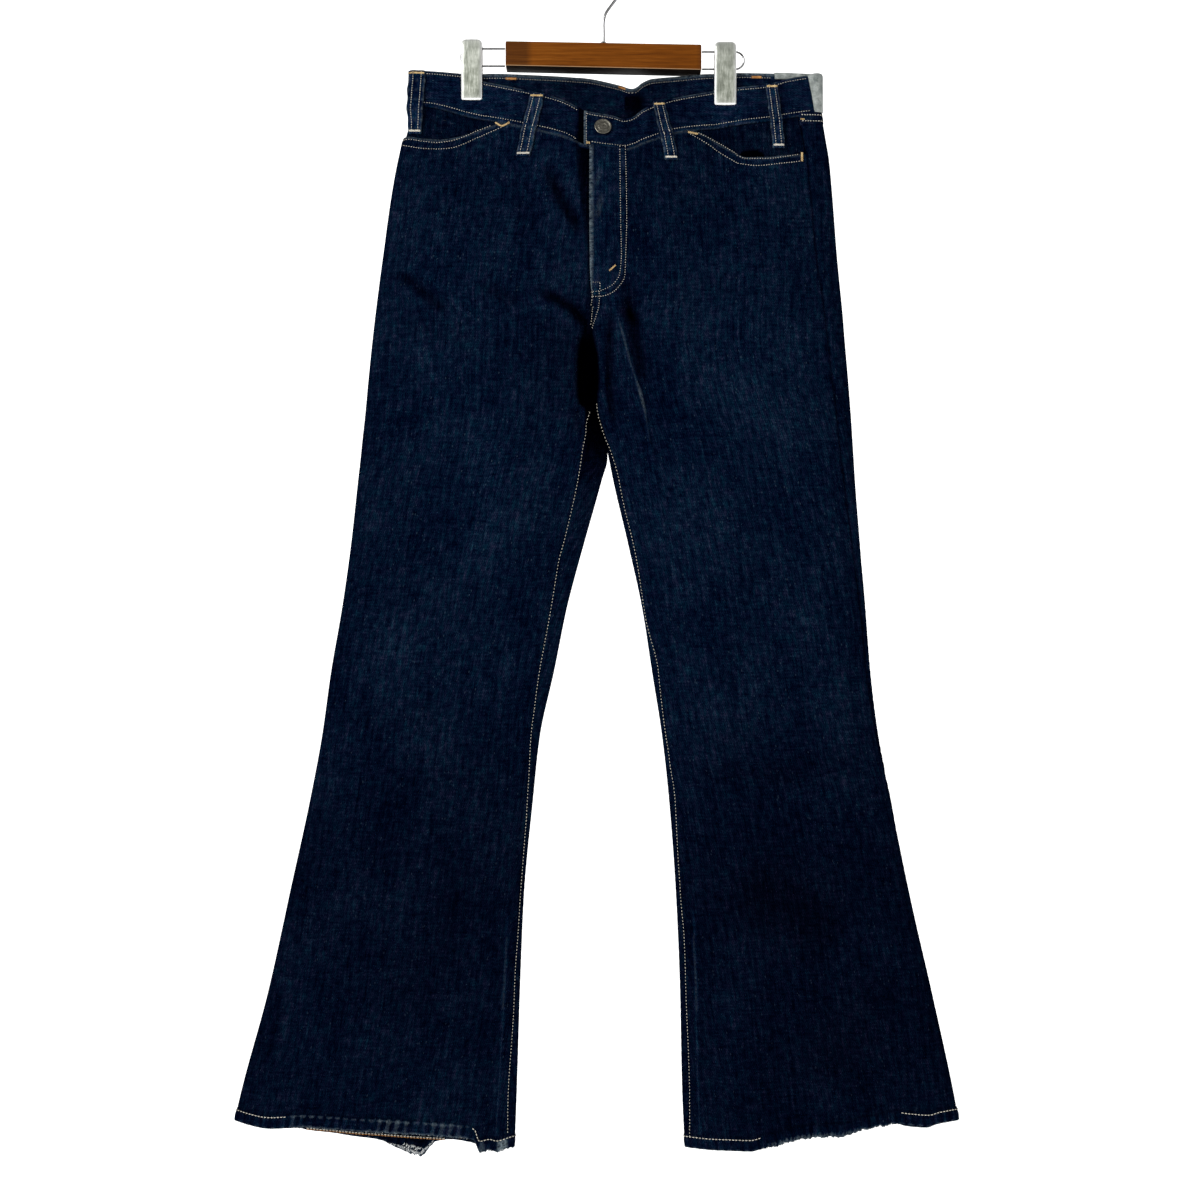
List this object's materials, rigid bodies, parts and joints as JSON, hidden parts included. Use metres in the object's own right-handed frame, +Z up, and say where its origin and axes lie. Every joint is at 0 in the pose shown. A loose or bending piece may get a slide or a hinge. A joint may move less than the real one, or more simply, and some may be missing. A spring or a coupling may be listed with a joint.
{
  "type": "bootcut jeans on a clip hanger",
  "caption": "Dark indigo bootcut jeans hung flat by the waistband from a wooden hanger with sprung steel clips; open waist and hems.",
  "frame": {"origin": "inside top of the hanger's hook, where a rail bears", "axes": "+Z up, +X to the right as seen from in front, the front of the jeans faces -Y"},
  "size_m": [0.7265, 0.0645, 1.1928],
  "materials": {
    "denim": "dark indigo twill, matt",
    "denim_band": "dark indigo twill, matt",
    "denim_pocket": "dark indigo twill, matt",
    "denim_hem": "dark indigo twill, worn at the edge",
    "denim_loop": "dark indigo twill, fuzzy edges",
    "patch": "bare pale grey, dull",
    "button_metal": "dark antique metal",
    "wood": "reddish brown, satin lacquer",
    "clip_steel": "satin",
    "wire_steel": "bright"
  },
  "bodies": {
    "root": {"back_panel_L_hip": "denim", "back_panel_L_knee": "denim", "back_panel_L_shin": "denim", "back_panel_L_thigh": "denim", "back_panel_R_hip": "denim", "back_panel_R_knee": "denim", "back_panel_R_shin": "denim", "back_panel_R_thigh": "denim", "back_pocket_L": "denim_pocket", "back_pocket_R": "denim_pocket", "belt_loop_1": "denim_loop", "belt_loop_2": "denim_loop", "belt_loop_3": "denim_loop", "belt_loop_4": "denim_loop", "belt_loop_5": "denim_loop", "belt_loop_6": "denim_loop", "belt_loop_7": "denim_loop", "button": "button_metal", "clip_back_L": "clip_steel", "clip_back_R": "clip_steel", "clip_front_L": "clip_steel", "clip_front_R": "clip_steel", "clip_spring_L": "clip_steel", "clip_spring_R": "clip_steel", "fly_lap": "denim", "front_panel_L_hip": "denim", "front_panel_L_knee": "denim", "front_panel_L_shin": "denim", "front_panel_L_thigh": "denim", "front_panel_R_hip": "denim", "front_panel_R_knee": "denim", "front_panel_R_shin": "denim", "front_panel_R_thigh": "denim", "hanger_bar": "wood", "hanger_hook": "wire_steel", "hanger_rail_L": "wire_steel", "hanger_rail_R": "wire_steel", "hem_L": "denim_hem", "hem_R": "denim_hem", "hook_ferrule": "wire_steel", "pocket_facing_L": "denim_pocket", "pocket_facing_R": "denim_pocket", "waist_patch": "patch", "waistband": "denim_band", "yoke_L": "denim", "yoke_R": "denim"}
  },
  "joints": []
}
